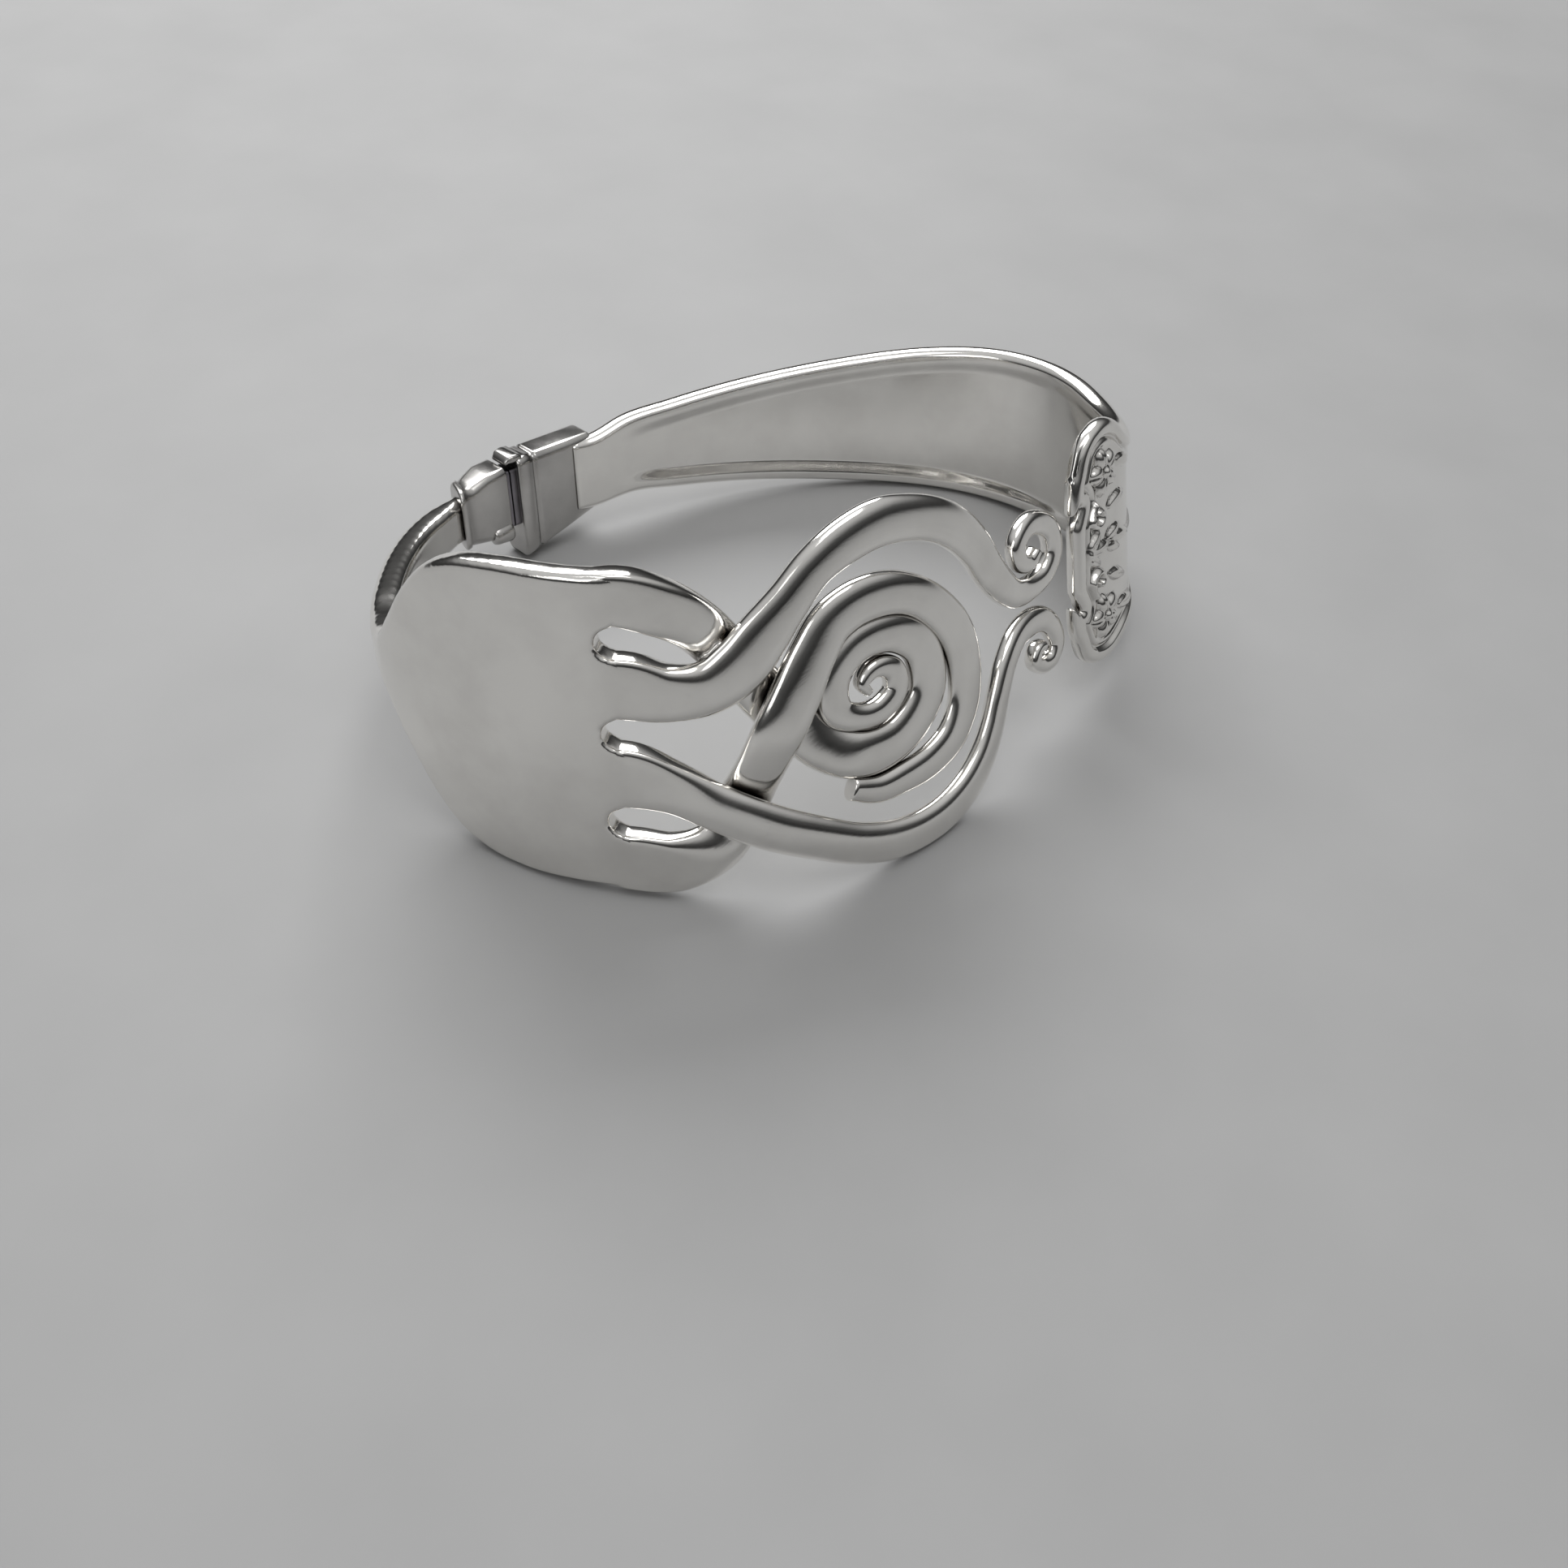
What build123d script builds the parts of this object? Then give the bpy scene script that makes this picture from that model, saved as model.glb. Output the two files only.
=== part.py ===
"""Bracelet bent from a table fork: the fork's head lies across the front with its four tines drawn out
and curled, its handle goes round the back to the ornate tip, and a magnetic clasp joins the cut ends.

Everything is built round the loop in its own frame: X the long way, front towards -Y, Z up through the
wrist opening. A place on the wall is given by `along` (arc length from the front middle, towards the
tip), `across` (up) and `out` (away from the wrist). At the end the whole is laid down as it rests.
"""
import os
from collections import namedtuple
from math import atan2, degrees

from build123d import *

# Loop, measured to the middle of the metal
LOOP_HALF_LENGTH = 32.4
LOOP_HALF_DEPTH = 22.0
FRONT_LEAN = 9.0          # degrees that the front wall flares outward towards the floor

# Fork head
FORK_WIDTH = 27.4
PALM_LENGTH = 21.0        # from the roots of the slots back to where the neck begins
PALM_THICK = 1.9
NECK_WIDTH = 3.9
NECK_THICK = 2.5
NECK_EDGE = 0.8
NECK_END_THICK = 2.0      # at the clasp
TINE_THICK = 1.7
TINE_END_THICK = 1.3
BURIED_THICK = 0.8        # of a tine's root inside the palm
LAYER_GAP = 0.15          # between two tines where one crosses the other
TINE_EDGE = 0.45          # radius along the tines' edges
PALM_EDGE = 0.55

# Handle
TIP_WIDTH = 21.4
BAND_WIDTH = 15.2         # at its widest, behind the tip's shoulders
BAND_END_WIDTH = 7.0      # at the clasp
BAND_THICK = 1.9
TIP_THICK = 1.5
BAND_EDGE = 0.7
NOTCH_RADIUS = 0.7        # two notches part the tip's end into three lobes
RIM_WIDTH = 1.5           # of the raised rim round the tip's face
FIELD_DEPTH = 0.3         # of the face's field below the rim
FIELD_ROOM = 0.5          # by which the field's cutter stands above the face
PETAL_RADIUS = 0.75
PETAL_SINK = 0.35         # of a petal or a bead into the face
ROSETTE_RADIUS = 1.05     # from a rosette's middle to the middles of its petals
PETALS = 5
TIP_GAP = 0.50            # between the curls and the tip's end
TIP_OUT = 0.8             # how far the tip's end stands out from the wall

# Clasp
CLASP_SHARE = 0.592       # of the way round the loop, to the middle of its gap
CLASP_GAP = 1.2
CLASP_DROP = 0.8          # of the clasp below the middle of the loop
SOCKET_LENGTH = 8.1
SOCKET_FLARE = 2.2        # by which the socket reaches lower at the gap than at the band
PLUG_LENGTH = 5.0
PLUG_TAPER = 1.4          # by which the plug is lower at the neck than at the gap
SLEEVE_HEIGHT = 7.6
SLEEVE_THICK = 3.2
SLEEVE_EDGE = 0.6
TONGUE = 2.0              # how far the band reaches into its sleeve
NECK_TONGUE = 1.5
FIT = 0.10                # clearance round a tongue and a magnet
MAGNET_HEIGHT = 5.6
MAGNET_THICK = 2.0
MAGNET_EDGE = 0.4
MAGNET_DEPTH = 2.0        # of a magnet inside its sleeve
MAGNET_GAP = 0.15         # between the two magnets

# How the loop rests: turned about its length and then about its depth, degrees
REST_PITCH = -9.60
REST_ROLL = 2.12

# Middle of the metal in plan, as shares of LOOP_HALF_LENGTH and LOOP_HALF_DEPTH
PlanPoint = namedtuple("PlanPoint", "length_share depth_share")
LOOP_PLAN = [
    PlanPoint(-0.07, -1.00),
    PlanPoint(0.21, -0.91),
    PlanPoint(0.53, -0.745),
    PlanPoint(0.85, -0.57),
    PlanPoint(1.02, -0.21),
    PlanPoint(1.035, 0.155),
    PlanPoint(0.905, 0.50),
    PlanPoint(0.63, 0.77),
    PlanPoint(0.27, 0.945),
    PlanPoint(-0.13, 1.00),
    PlanPoint(-0.495, 0.955),
    PlanPoint(-0.72, 0.765),
    PlanPoint(-0.898, 0.41),
    PlanPoint(-0.987, 0.00),
    PlanPoint(-0.905, -0.41),
    PlanPoint(-0.715, -0.755),
    PlanPoint(-0.41, -0.955),
]

# The tines spread from the middle of the outer ring, whose radius is the fork head's own unit
ring_radius = 0.365 * FORK_WIDTH
slot_width = 0.25 * ring_radius
layer = TINE_THICK + LAYER_GAP

# Tine sections: along, across and width as shares of ring_radius, level in layers
TineRow = namedtuple("TineRow", "along across width level")
INNER_TINE = [      # first tine, under the second and the fourth, to the start of the inner spiral
    TineRow(-2.35, 1.14, 0.36, 0.00),
    TineRow(-2.03, 1.13, 0.40, 0.00),
    TineRow(-1.76, 1.01, 0.40, -0.06),
    TineRow(-1.52, 0.82, 0.39, -0.32),
    TineRow(-1.33, 0.59, 0.39, -0.62),
    TineRow(-1.14, 0.33, 0.40, -0.70),
    TineRow(-0.95, 0.08, 0.41, -0.70),
    TineRow(-0.76, -0.15, 0.41, -0.66),
    TineRow(-0.57, -0.36, 0.39, -0.45),
    TineRow(-0.35, -0.48, 0.39, -0.20),
]
SECOND_TINE = [     # over the first, arching above the ring, to the upper curl
    TineRow(-2.35, 0.43, 0.46, 0.00),
    TineRow(-2.05, 0.43, 0.49, 0.00),
    TineRow(-1.74, 0.36, 0.42, 0.10),
    TineRow(-1.44, 0.39, 0.42, 0.30),
    TineRow(-1.23, 0.52, 0.44, 0.34),
    TineRow(-1.05, 0.71, 0.41, 0.34),
    TineRow(-0.86, 0.91, 0.34, 0.34),
    TineRow(-0.64, 1.12, 0.32, 0.32),
    TineRow(-0.40, 1.24, 0.35, 0.30),
    TineRow(-0.10, 1.30, 0.36, 0.30),
    TineRow(0.17, 1.26, 0.34, 0.30),
    TineRow(0.44, 1.16, 0.33, 0.30),
    TineRow(0.71, 0.98, 0.33, 0.30),
    TineRow(0.92, 0.75, 0.32, 0.30),
    TineRow(1.08, 0.50, 0.31, 0.30),
    TineRow(1.26, 0.29, 0.28, 0.25),
    TineRow(1.46, 0.13, 0.24, 0.16),
    TineRow(1.69, 0.07, 0.21, 0.10),
    TineRow(1.91, 0.10, 0.20, 0.08),
    TineRow(2.04, 0.24, 0.20, 0.08),
    TineRow(2.02, 0.42, 0.20, 0.08),
    TineRow(1.87, 0.56, 0.20, 0.08),
    TineRow(1.68, 0.60, 0.20, 0.08),
    TineRow(1.53, 0.50, 0.19, 0.09),
    TineRow(1.57, 0.35, 0.17, 0.09),
    TineRow(1.70, 0.29, 0.14, 0.08),
    TineRow(1.80, 0.35, 0.10, 0.08),
]
THIRD_TINE = [      # over the fourth, round under the ring, to the lower curl
    TineRow(-2.35, -0.33, 0.48, 0.00),
    TineRow(-2.05, -0.33, 0.51, 0.00),
    TineRow(-1.75, -0.43, 0.40, 0.10),
    TineRow(-1.43, -0.62, 0.37, 0.30),
    TineRow(-1.09, -0.83, 0.37, 0.34),
    TineRow(-0.73, -1.02, 0.35, 0.34),
    TineRow(-0.44, -1.17, 0.34, 0.34),
    TineRow(-0.14, -1.27, 0.34, 0.32),
    TineRow(0.13, -1.30, 0.33, 0.30),
    TineRow(0.41, -1.27, 0.33, 0.30),
    TineRow(0.68, -1.16, 0.32, 0.30),
    TineRow(0.89, -0.98, 0.29, 0.30),
    TineRow(1.02, -0.78, 0.26, 0.30),
    TineRow(1.12, -0.57, 0.24, 0.30),
    TineRow(1.25, -0.38, 0.24, 0.25),
    TineRow(1.42, -0.26, 0.24, 0.17),
    TineRow(1.64, -0.23, 0.24, 0.10),
    TineRow(1.85, -0.28, 0.22, 0.08),
    TineRow(2.00, -0.42, 0.20, 0.08),
    TineRow(2.05, -0.58, 0.18, 0.08),
    TineRow(1.97, -0.69, 0.17, 0.08),
    TineRow(1.82, -0.69, 0.15, 0.08),
    TineRow(1.72, -0.60, 0.13, 0.08),
    TineRow(1.76, -0.51, 0.11, 0.08),
    TineRow(1.85, -0.51, 0.09, 0.08),
]
OUTER_TINE = [      # fourth, under the third and over the first, round as the outer ring
    TineRow(-2.35, -1.11, 0.52, 0.00),
    TineRow(-2.03, -1.11, 0.54, 0.00),
    TineRow(-1.75, -1.12, 0.49, -0.05),
    TineRow(-1.46, -1.02, 0.43, -0.30),
    TineRow(-1.28, -0.82, 0.41, -0.62),
    TineRow(-1.19, -0.60, 0.40, -0.55),
    TineRow(-1.10, -0.36, 0.38, -0.10),
    TineRow(-0.99, -0.09, 0.40, 0.30),
    TineRow(-0.84, 0.19, 0.40, 0.32),
    TineRow(-0.68, 0.47, 0.38, 0.22),
    TineRow(-0.52, 0.66, 0.37, 0.12),
    TineRow(-0.33, 0.74, 0.36, 0.06),
    TineRow(-0.07, 0.745, 0.34, 0.02),
    TineRow(0.19, 0.66, 0.31, 0.00),
    TineRow(0.52, 0.39, 0.32, 0.00),
    TineRow(0.72, 0.07, 0.35, 0.00),
    TineRow(0.77, -0.21, 0.36, 0.00),
    TineRow(0.73, -0.48, 0.36, 0.00),
    TineRow(0.57, -0.69, 0.34, 0.00),
    TineRow(0.32, -0.79, 0.30, 0.00),
    TineRow(0.03, -0.815, 0.26, 0.00),
    TineRow(-0.20, -0.815, 0.23, 0.00),
    TineRow(-0.43, -0.73, 0.18, 0.00),
]

# Inner spiral about its own middle, an eighth of a turn a row, radius and width as shares of ring_radius
SPIRAL_MIDDLE = (-0.15, 0.03)
SPIRAL_START = -70        # degrees from forward
SPIRAL_STEP = 45
SpiralRow = namedtuple("SpiralRow", "radius width level")
SPIRAL = [
    SpiralRow(0.55, 0.39, -0.04),
    SpiralRow(0.57, 0.38, 0.00),
    SpiralRow(0.49, 0.34, 0.00),
    SpiralRow(0.41, 0.31, 0.00),
    SpiralRow(0.39, 0.30, 0.00),
    SpiralRow(0.37, 0.26, 0.00),
    SpiralRow(0.34, 0.25, 0.00),
    SpiralRow(0.24, 0.21, 0.00),
    SpiralRow(0.21, 0.22, 0.00),
    SpiralRow(0.22, 0.22, 0.00),
    SpiralRow(0.19, 0.20, 0.00),
    SpiralRow(0.15, 0.17, 0.00),
    SpiralRow(0.13, 0.14, 0.00),
    SpiralRow(0.12, 0.11, 0.00),
    SpiralRow(0.07, 0.08, 0.00),
]

# Palm: along back from the slots' roots as a share of PALM_LENGTH, edges as shares of half FORK_WIDTH
PalmRow = namedtuple("PalmRow", "back half_width")
PALM = [
    PalmRow(1.00, 0.21),
    PalmRow(0.89, 0.41),
    PalmRow(0.78, 0.64),
    PalmRow(0.67, 0.82),
    PalmRow(0.55, 0.92),
    PalmRow(0.40, 0.965),
    PalmRow(0.20, 0.975),
    PalmRow(0.00, 0.975),
]
SLOTS_ACROSS = (0.59, 0.045, -0.52)     # middles of the slots' roots, as shares of half FORK_WIDTH

# Handle: reach from the tip's end as a share of TIP_WIDTH, half width and the height of the strip's
# middle above the loop's as shares of half TIP_WIDTH
TipRow = namedtuple("TipRow", "reach half_width lift")
TIP = [
    TipRow(0.00, 0.58, 0.075),
    TipRow(0.028, 0.71, 0.075),
    TipRow(0.05, 0.82, 0.075),
    TipRow(0.10, 0.935, 0.075),
    TipRow(0.15, 0.98, 0.075),
    TipRow(0.235, 1.00, 0.07),
    TipRow(0.34, 0.94, 0.045),
    TipRow(0.42, 0.86, 0.00),
    TipRow(0.50, 0.80, -0.04),
    TipRow(0.66, 0.735, -0.07),
    TipRow(0.85, 0.685, -0.075),
    TipRow(1.02, 0.68, -0.07),
]
NOTCHES = (-0.32, 0.32)                 # across the end, as shares of half TIP_WIDTH
# Rosettes on the tip's face: reach as a share of TIP_WIDTH, across as a share of half TIP_WIDTH
Rosette = namedtuple("Rosette", "reach across")
ROSETTES = [Rosette(0.21, -0.60), Rosette(0.16, 0.00), Rosette(0.21, 0.60)]

# Band: way from the tip's last section to the clasp as a share, half width and the height of its
# middle as shares of half BAND_WIDTH
BandRow = namedtuple("BandRow", "way half_width lift")
BAND = [
    BandRow(0.06, 0.985, -0.075),
    BandRow(0.13, 1.00, -0.045),
    BandRow(0.22, 0.99, -0.015),
    BandRow(0.36, 0.92, 0.00),
    BandRow(0.52, 0.81, 0.00),
    BandRow(0.68, 0.69, 0.00),
    BandRow(0.84, 0.57, 0.00),
    BandRow(0.93, 0.505, 0.00),
]

with BuildLine() as loop:
    Spline(*[(p.length_share * LOOP_HALF_LENGTH, p.depth_share * LOOP_HALF_DEPTH) for p in LOOP_PLAN],
           periodic=True)
loop_edge = loop.edges()[0]
loop_length = loop_edge.length

slot_root = -2.085 * ring_radius
tip_end = (SECOND_TINE[19].along + SECOND_TINE[19].width / 2) * ring_radius + TIP_GAP
clasp_along = CLASP_SHARE * loop_length
socket_mouth = clasp_along - CLASP_GAP / 2 - SOCKET_LENGTH
plug_mouth = clasp_along + CLASP_GAP / 2 + PLUG_LENGTH - loop_length


def eased(share):
    share = min(max(share, 0), 1)
    return share * share * (3 - 2 * share)


def lean_at(along):
    """Lean of the wall in degrees: none at the palm and the back, full from the ring to the tip."""
    rise = eased((along + 2.4 * ring_radius) / (1.6 * ring_radius))
    fall = eased((along - 3.0 * ring_radius) / (2.0 * ring_radius))
    return FRONT_LEAN * rise * (1 - fall)


def wall(along, across=0.0, out=0.0):
    """Point on the wall, with the forward, outward and upward directions there."""
    way = along % loop_length
    middle = loop_edge.position_at(way, PositionMode.LENGTH)
    forward = loop_edge.tangent_at(way, PositionMode.LENGTH)
    lean = lean_at(along)
    outward = forward.cross(Vector(0, 0, 1)).rotate(Axis((0, 0, 0), forward), -lean)
    upward = outward.cross(forward)
    return middle + outward * out + upward * across, forward, outward, upward


def section_plane(along, across=0.0, out=0.0, heading=0.0):
    """Plane square to a strip in the wall: its X runs across the strip, its Y outward."""
    point, forward, outward, upward = wall(along, across, out)
    run = forward.rotate(Axis((0, 0, 0), outward), heading)
    return Plane(origin=point, x_dir=outward.cross(run), z_dir=run)


def strip_section(plane, width, thick, edge):
    with BuildSketch(plane) as section:
        RectangleRounded(width, thick, min(edge, 0.45 * width, 0.45 * thick))
    return section.sketch


def route_rows(rows):
    """Tine rows with the heading of a smooth route through them, and the thickness at each."""
    points = [(row.along * ring_radius, row.across * ring_radius) for row in rows]
    with BuildLine() as route:
        Spline(*points)
    edge = route.edges()[0]
    for number, (row, point) in enumerate(zip(rows, points)):
        way = edge.tangent_at(Vector(*point))
        taper = number / (len(rows) - 1)
        thick = TINE_THICK + (TINE_END_THICK - TINE_THICK) * taper
        yield row, degrees(atan2(way.Y, way.X)), thick if number else BURIED_THICK


def tine(rows):
    """Loft one tine through its sections."""
    sections = []
    for row, heading, thick in route_rows(rows):
        plane = section_plane(row.along * ring_radius, row.across * ring_radius, row.level * layer, heading)
        sections.append(strip_section(plane, row.width * ring_radius, thick, TINE_EDGE))
    loft(sections)


def spiral_rows():
    for number, row in enumerate(SPIRAL):
        turn = Vector(row.radius, 0).rotate(Axis.Z, SPIRAL_START + number * SPIRAL_STEP)
        yield TineRow(SPIRAL_MIDDLE[0] + turn.X, SPIRAL_MIDDLE[1] + turn.Y, row.width, row.level)


def clasp_plane(ahead):
    """Plane square to the clasp's straight axis, `ahead` of the middle of its gap towards the neck."""
    point, forward, outward, upward = wall(clasp_along, -CLASP_DROP)
    return Plane(origin=point + forward * ahead, x_dir=upward, z_dir=forward)


def facing_plane(along, across=0.0, out=0.0):
    """Plane that lies on the wall: its X runs forward, its Y up, and it faces outward."""
    point, forward, outward, upward = wall(along, across, out)
    return Plane(origin=point, x_dir=forward, z_dir=outward)


def tongue(plane, width, thick, edge, amount):
    """Straight end of a strip, reaching into its sleeve."""
    with BuildSketch(plane) as section:
        RectangleRounded(width, thick, edge)
    extrude(section.sketch, amount=amount)
    return section.sketch


def block_section(plane, height, drop=0.0):
    with BuildSketch(plane) as section:
        with Locations((-drop, 0)):
            RectangleRounded(height, SLEEVE_THICK, SLEEVE_EDGE)
    return section.sketch


def pocket(plane, width, thick, edge, amount):
    """Pocket in a sleeve for a tongue or a magnet, with its clearance."""
    with BuildSketch(plane) as section:
        RectangleRounded(width + 2 * FIT, thick + 2 * FIT, edge + FIT)
    extrude(section.sketch, amount=amount, mode=Mode.SUBTRACT)


def magnet(face, inward):
    """Magnet in its pocket, proud of the sleeve's mating face by its share of the gap."""
    proud = (CLASP_GAP - MAGNET_GAP) / 2
    with BuildSketch(clasp_plane(face - inward * proud)) as section:
        RectangleRounded(MAGNET_HEIGHT, MAGNET_THICK, MAGNET_EDGE)
    extrude(section.sketch, amount=inward * (MAGNET_DEPTH + proud))


def tip_plane(row, out=0.0):
    """Plane of one of the tip's sections, `out` from the middle of its metal."""
    stand = TIP_OUT * (1 - eased(row.reach / 0.9))
    return section_plane(tip_end + row.reach * TIP_WIDTH, row.lift * TIP_WIDTH / 2, out + stand)


def field():
    """Sunk field of the tip's face, which leaves a raised rim along the outline."""
    sections = []
    for row in TIP[3:-1]:
        width = row.half_width * TIP_WIDTH - 2 * RIM_WIDTH
        plane = tip_plane(row, TIP_THICK / 2 + FIELD_ROOM)
        sections.append(strip_section(plane, width, 2 * (FIELD_DEPTH + FIELD_ROOM), FIELD_DEPTH))
    loft(sections, mode=Mode.SUBTRACT)


def rosette(reach, across):
    """Petals round a bead, sunk into the tip's face."""
    middle = Vector(tip_end + reach * TIP_WIDTH, (TIP[0].lift + across) * TIP_WIDTH / 2)
    face = TIP_THICK / 2 - FIELD_DEPTH + TIP_OUT * (1 - eased(reach / 0.9))
    for number in range(PETALS):
        petal = middle + Vector(ROSETTE_RADIUS, 0).rotate(Axis.Z, 360 / PETALS * (number + 0.25))
        with Locations(facing_plane(petal.X, petal.Y, face - PETAL_SINK)):
            Sphere(PETAL_RADIUS)
    with Locations(facing_plane(middle.X, middle.Y, face - PETAL_SINK / 2)):
        Sphere(PETAL_RADIUS)


with BuildPart() as fork_head:
    # neck and palm, from the clasp to the slots' roots
    neck_root = slot_root - PALM_LENGTH
    sections = []
    for row in reversed(PALM):
        thick = PALM_THICK + (NECK_THICK - PALM_THICK) * row.back ** 3
        plane = section_plane(slot_root - row.back * PALM_LENGTH)
        sections.append(strip_section(plane, row.half_width * FORK_WIDTH, thick, PALM_EDGE))
    for share in (0.15, 0.32, 0.5, 0.68, 0.84):
        plane = section_plane(neck_root + (plug_mouth - neck_root) * share, -CLASP_DROP * share)
        sections.append(strip_section(plane, NECK_WIDTH, NECK_THICK, NECK_EDGE))
    neck_plane = section_plane(plug_mouth, -CLASP_DROP)
    sections.append(tongue(neck_plane, NECK_WIDTH, NECK_END_THICK, NECK_EDGE, -NECK_TONGUE))
    loft(sections)
    for rows in (INNER_TINE + list(spiral_rows()), SECOND_TINE, THIRD_TINE, OUTER_TINE):
        tine(rows)
    for share in SLOTS_ACROSS:
        with Locations(facing_plane(slot_root, share * FORK_WIDTH / 2)):
            Cylinder(slot_width / 2, 3 * PALM_THICK, mode=Mode.SUBTRACT)

with BuildPart() as spoon_handle:
    sections = []
    for row in TIP:
        sections.append(strip_section(tip_plane(row), row.half_width * TIP_WIDTH, TIP_THICK, BAND_EDGE))
    band_start = tip_end + TIP[-1].reach * TIP_WIDTH
    for row in BAND:
        along = band_start + (socket_mouth - band_start) * row.way
        plane = section_plane(along, row.lift * BAND_WIDTH / 2)
        sections.append(strip_section(plane, row.half_width * BAND_WIDTH, BAND_THICK, BAND_EDGE))
    band_plane = clasp_plane(-CLASP_GAP / 2 - SOCKET_LENGTH)
    sections.append(tongue(band_plane, BAND_END_WIDTH, BAND_THICK, BAND_EDGE, TONGUE))
    loft(sections)
    for share in NOTCHES:
        with Locations(facing_plane(tip_end, (TIP[0].lift + share) * TIP_WIDTH / 2, TIP_OUT)):
            Cylinder(NOTCH_RADIUS, 3 * TIP_THICK, mode=Mode.SUBTRACT)
    field()
    for place in ROSETTES:
        rosette(place.reach, place.across)

with BuildPart() as clasp_socket:
    face_plane = clasp_plane(-CLASP_GAP / 2)
    mouth = block_section(band_plane, SLEEVE_HEIGHT)
    loft([mouth, block_section(face_plane, SLEEVE_HEIGHT + SOCKET_FLARE, SOCKET_FLARE / 2)])
    pocket(band_plane, BAND_END_WIDTH, BAND_THICK, BAND_EDGE, TONGUE + FIT)
    pocket(face_plane, MAGNET_HEIGHT, MAGNET_THICK, MAGNET_EDGE, -MAGNET_DEPTH - FIT)

with BuildPart() as clasp_plug:
    face_plane = clasp_plane(CLASP_GAP / 2)
    loft([block_section(face_plane, SLEEVE_HEIGHT), block_section(neck_plane, SLEEVE_HEIGHT - PLUG_TAPER)])
    pocket(neck_plane, NECK_WIDTH, NECK_END_THICK, NECK_EDGE, -NECK_TONGUE - FIT)
    pocket(face_plane, MAGNET_HEIGHT, MAGNET_THICK, MAGNET_EDGE, MAGNET_DEPTH + FIT)

with BuildPart() as socket_magnet:
    magnet(-CLASP_GAP / 2, -1)

with BuildPart() as plug_magnet:
    magnet(CLASP_GAP / 2, 1)

pieces = {
    "fork_head": fork_head, "spoon_handle": spoon_handle, "clasp_socket": clasp_socket,
    "clasp_plug": clasp_plug, "socket_magnet": socket_magnet, "plug_magnet": plug_magnet,
}
# Lay the loop down as it rests, its box's bottom middle at the origin
for piece in pieces.values():
    piece.part.move(Rot(REST_PITCH, REST_ROLL, 0))
box = Compound([piece.part for piece in pieces.values()]).bounding_box()
for piece in pieces.values():
    piece.part.move(Pos(-box.center().X, -box.center().Y, -box.min.Z))

os.makedirs("parts", exist_ok=True)
for name, piece in pieces.items():
    piece.part.label = name
    export_step(piece.part, f"parts/{name}.step")
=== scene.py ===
import math

import bmesh
import bpy
import numpy as np
from mathutils import Matrix, Vector


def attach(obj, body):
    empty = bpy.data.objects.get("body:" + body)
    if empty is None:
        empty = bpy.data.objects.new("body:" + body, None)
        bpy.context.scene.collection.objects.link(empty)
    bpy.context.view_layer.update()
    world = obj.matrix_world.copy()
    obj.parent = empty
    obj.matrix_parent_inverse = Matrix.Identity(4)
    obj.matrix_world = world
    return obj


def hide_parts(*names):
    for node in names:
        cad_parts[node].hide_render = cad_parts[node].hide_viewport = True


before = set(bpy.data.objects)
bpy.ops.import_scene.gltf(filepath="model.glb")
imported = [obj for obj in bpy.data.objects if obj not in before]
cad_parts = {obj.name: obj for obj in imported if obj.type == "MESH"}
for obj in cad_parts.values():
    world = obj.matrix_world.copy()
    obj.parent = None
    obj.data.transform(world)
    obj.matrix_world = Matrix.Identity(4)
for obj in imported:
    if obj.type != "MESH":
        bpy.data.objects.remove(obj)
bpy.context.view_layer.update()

MM = 0.001

# How the loop's own frame, in millimetres, rests on the floor
REST_PITCH = math.radians(-9.60)
REST_ROLL = math.radians(2.12)
REST_SHIFT = np.array([-0.8286, 1.3605, 10.2096])
REST = np.array(Matrix.Rotation(REST_PITCH, 3, "X") @ Matrix.Rotation(REST_ROLL, 3, "Y"))

# Fork head's driving sizes, in millimetres
FORK_WIDTH = 27.4
PALM_LENGTH = 21.0
RING_RADIUS = 0.365 * FORK_WIDTH

# Loop: middle line of the wall in plan, as shares of its half length and half depth
LOOP_HALF_LENGTH = 32.4
LOOP_HALF_DEPTH = 22.0
LOOP_PLAN = [
    (-0.07, -1.00), (0.21, -0.91), (0.53, -0.745), (0.85, -0.57), (1.02, -0.21), (1.035, 0.155),
    (0.905, 0.50), (0.63, 0.77), (0.27, 0.945), (-0.13, 1.00), (-0.495, 0.955), (-0.72, 0.765),
    (-0.898, 0.41), (-0.987, 0.00), (-0.905, -0.41), (-0.715, -0.755), (-0.41, -0.955),
]
SPLINE_STEPS = 200

# Outward lean of the front in degrees, and where it grows and fades, in ring radii along the loop
FRONT_LEAN = 9.0
LEAN_GROWS, LEAN_GROWTH = -2.4, 1.6
LEAN_FADES, LEAN_FADE = 3.0, 2.0

# Handle, in millimetres; places are lengths along the loop
TIP_END = 21.902
TIP_WIDTH = 21.4
TIP_OUT = 0.8
TIP_THICK = 1.5
BAND_WIDTH = 15.2
BAND_END_WIDTH = 7.0
BAND_THICK = 1.9
TONGUE = 2.0
SOCKET_MOUTH = 95.098
CLASP_DROP = 0.8


def rest(points):
    """Loop-frame millimetres to row-frame metres."""
    return (np.asarray(points) @ REST.T + REST_SHIFT) * MM


# Curves that every piece is built on
def eased(share):
    """Smooth step from 0 to 1."""
    share = np.clip(share, 0, 1)
    return share * share * (3 - 2 * share)


def swell(value, at, half, height):
    """Soft swelling of one height and half width round one place."""
    return height * np.exp(-((value - at) / half) ** 2)


def hermite(t, start, start_slope, end, end_slope):
    """Cubic from start to end as t goes from 0 to 1."""
    return (start * (2 * t**3 - 3 * t**2 + 1) + start_slope * (t**3 - 2 * t**2 + t)
            + end * (3 * t**2 - 2 * t**3) + end_slope * (t**3 - t**2))


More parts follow.
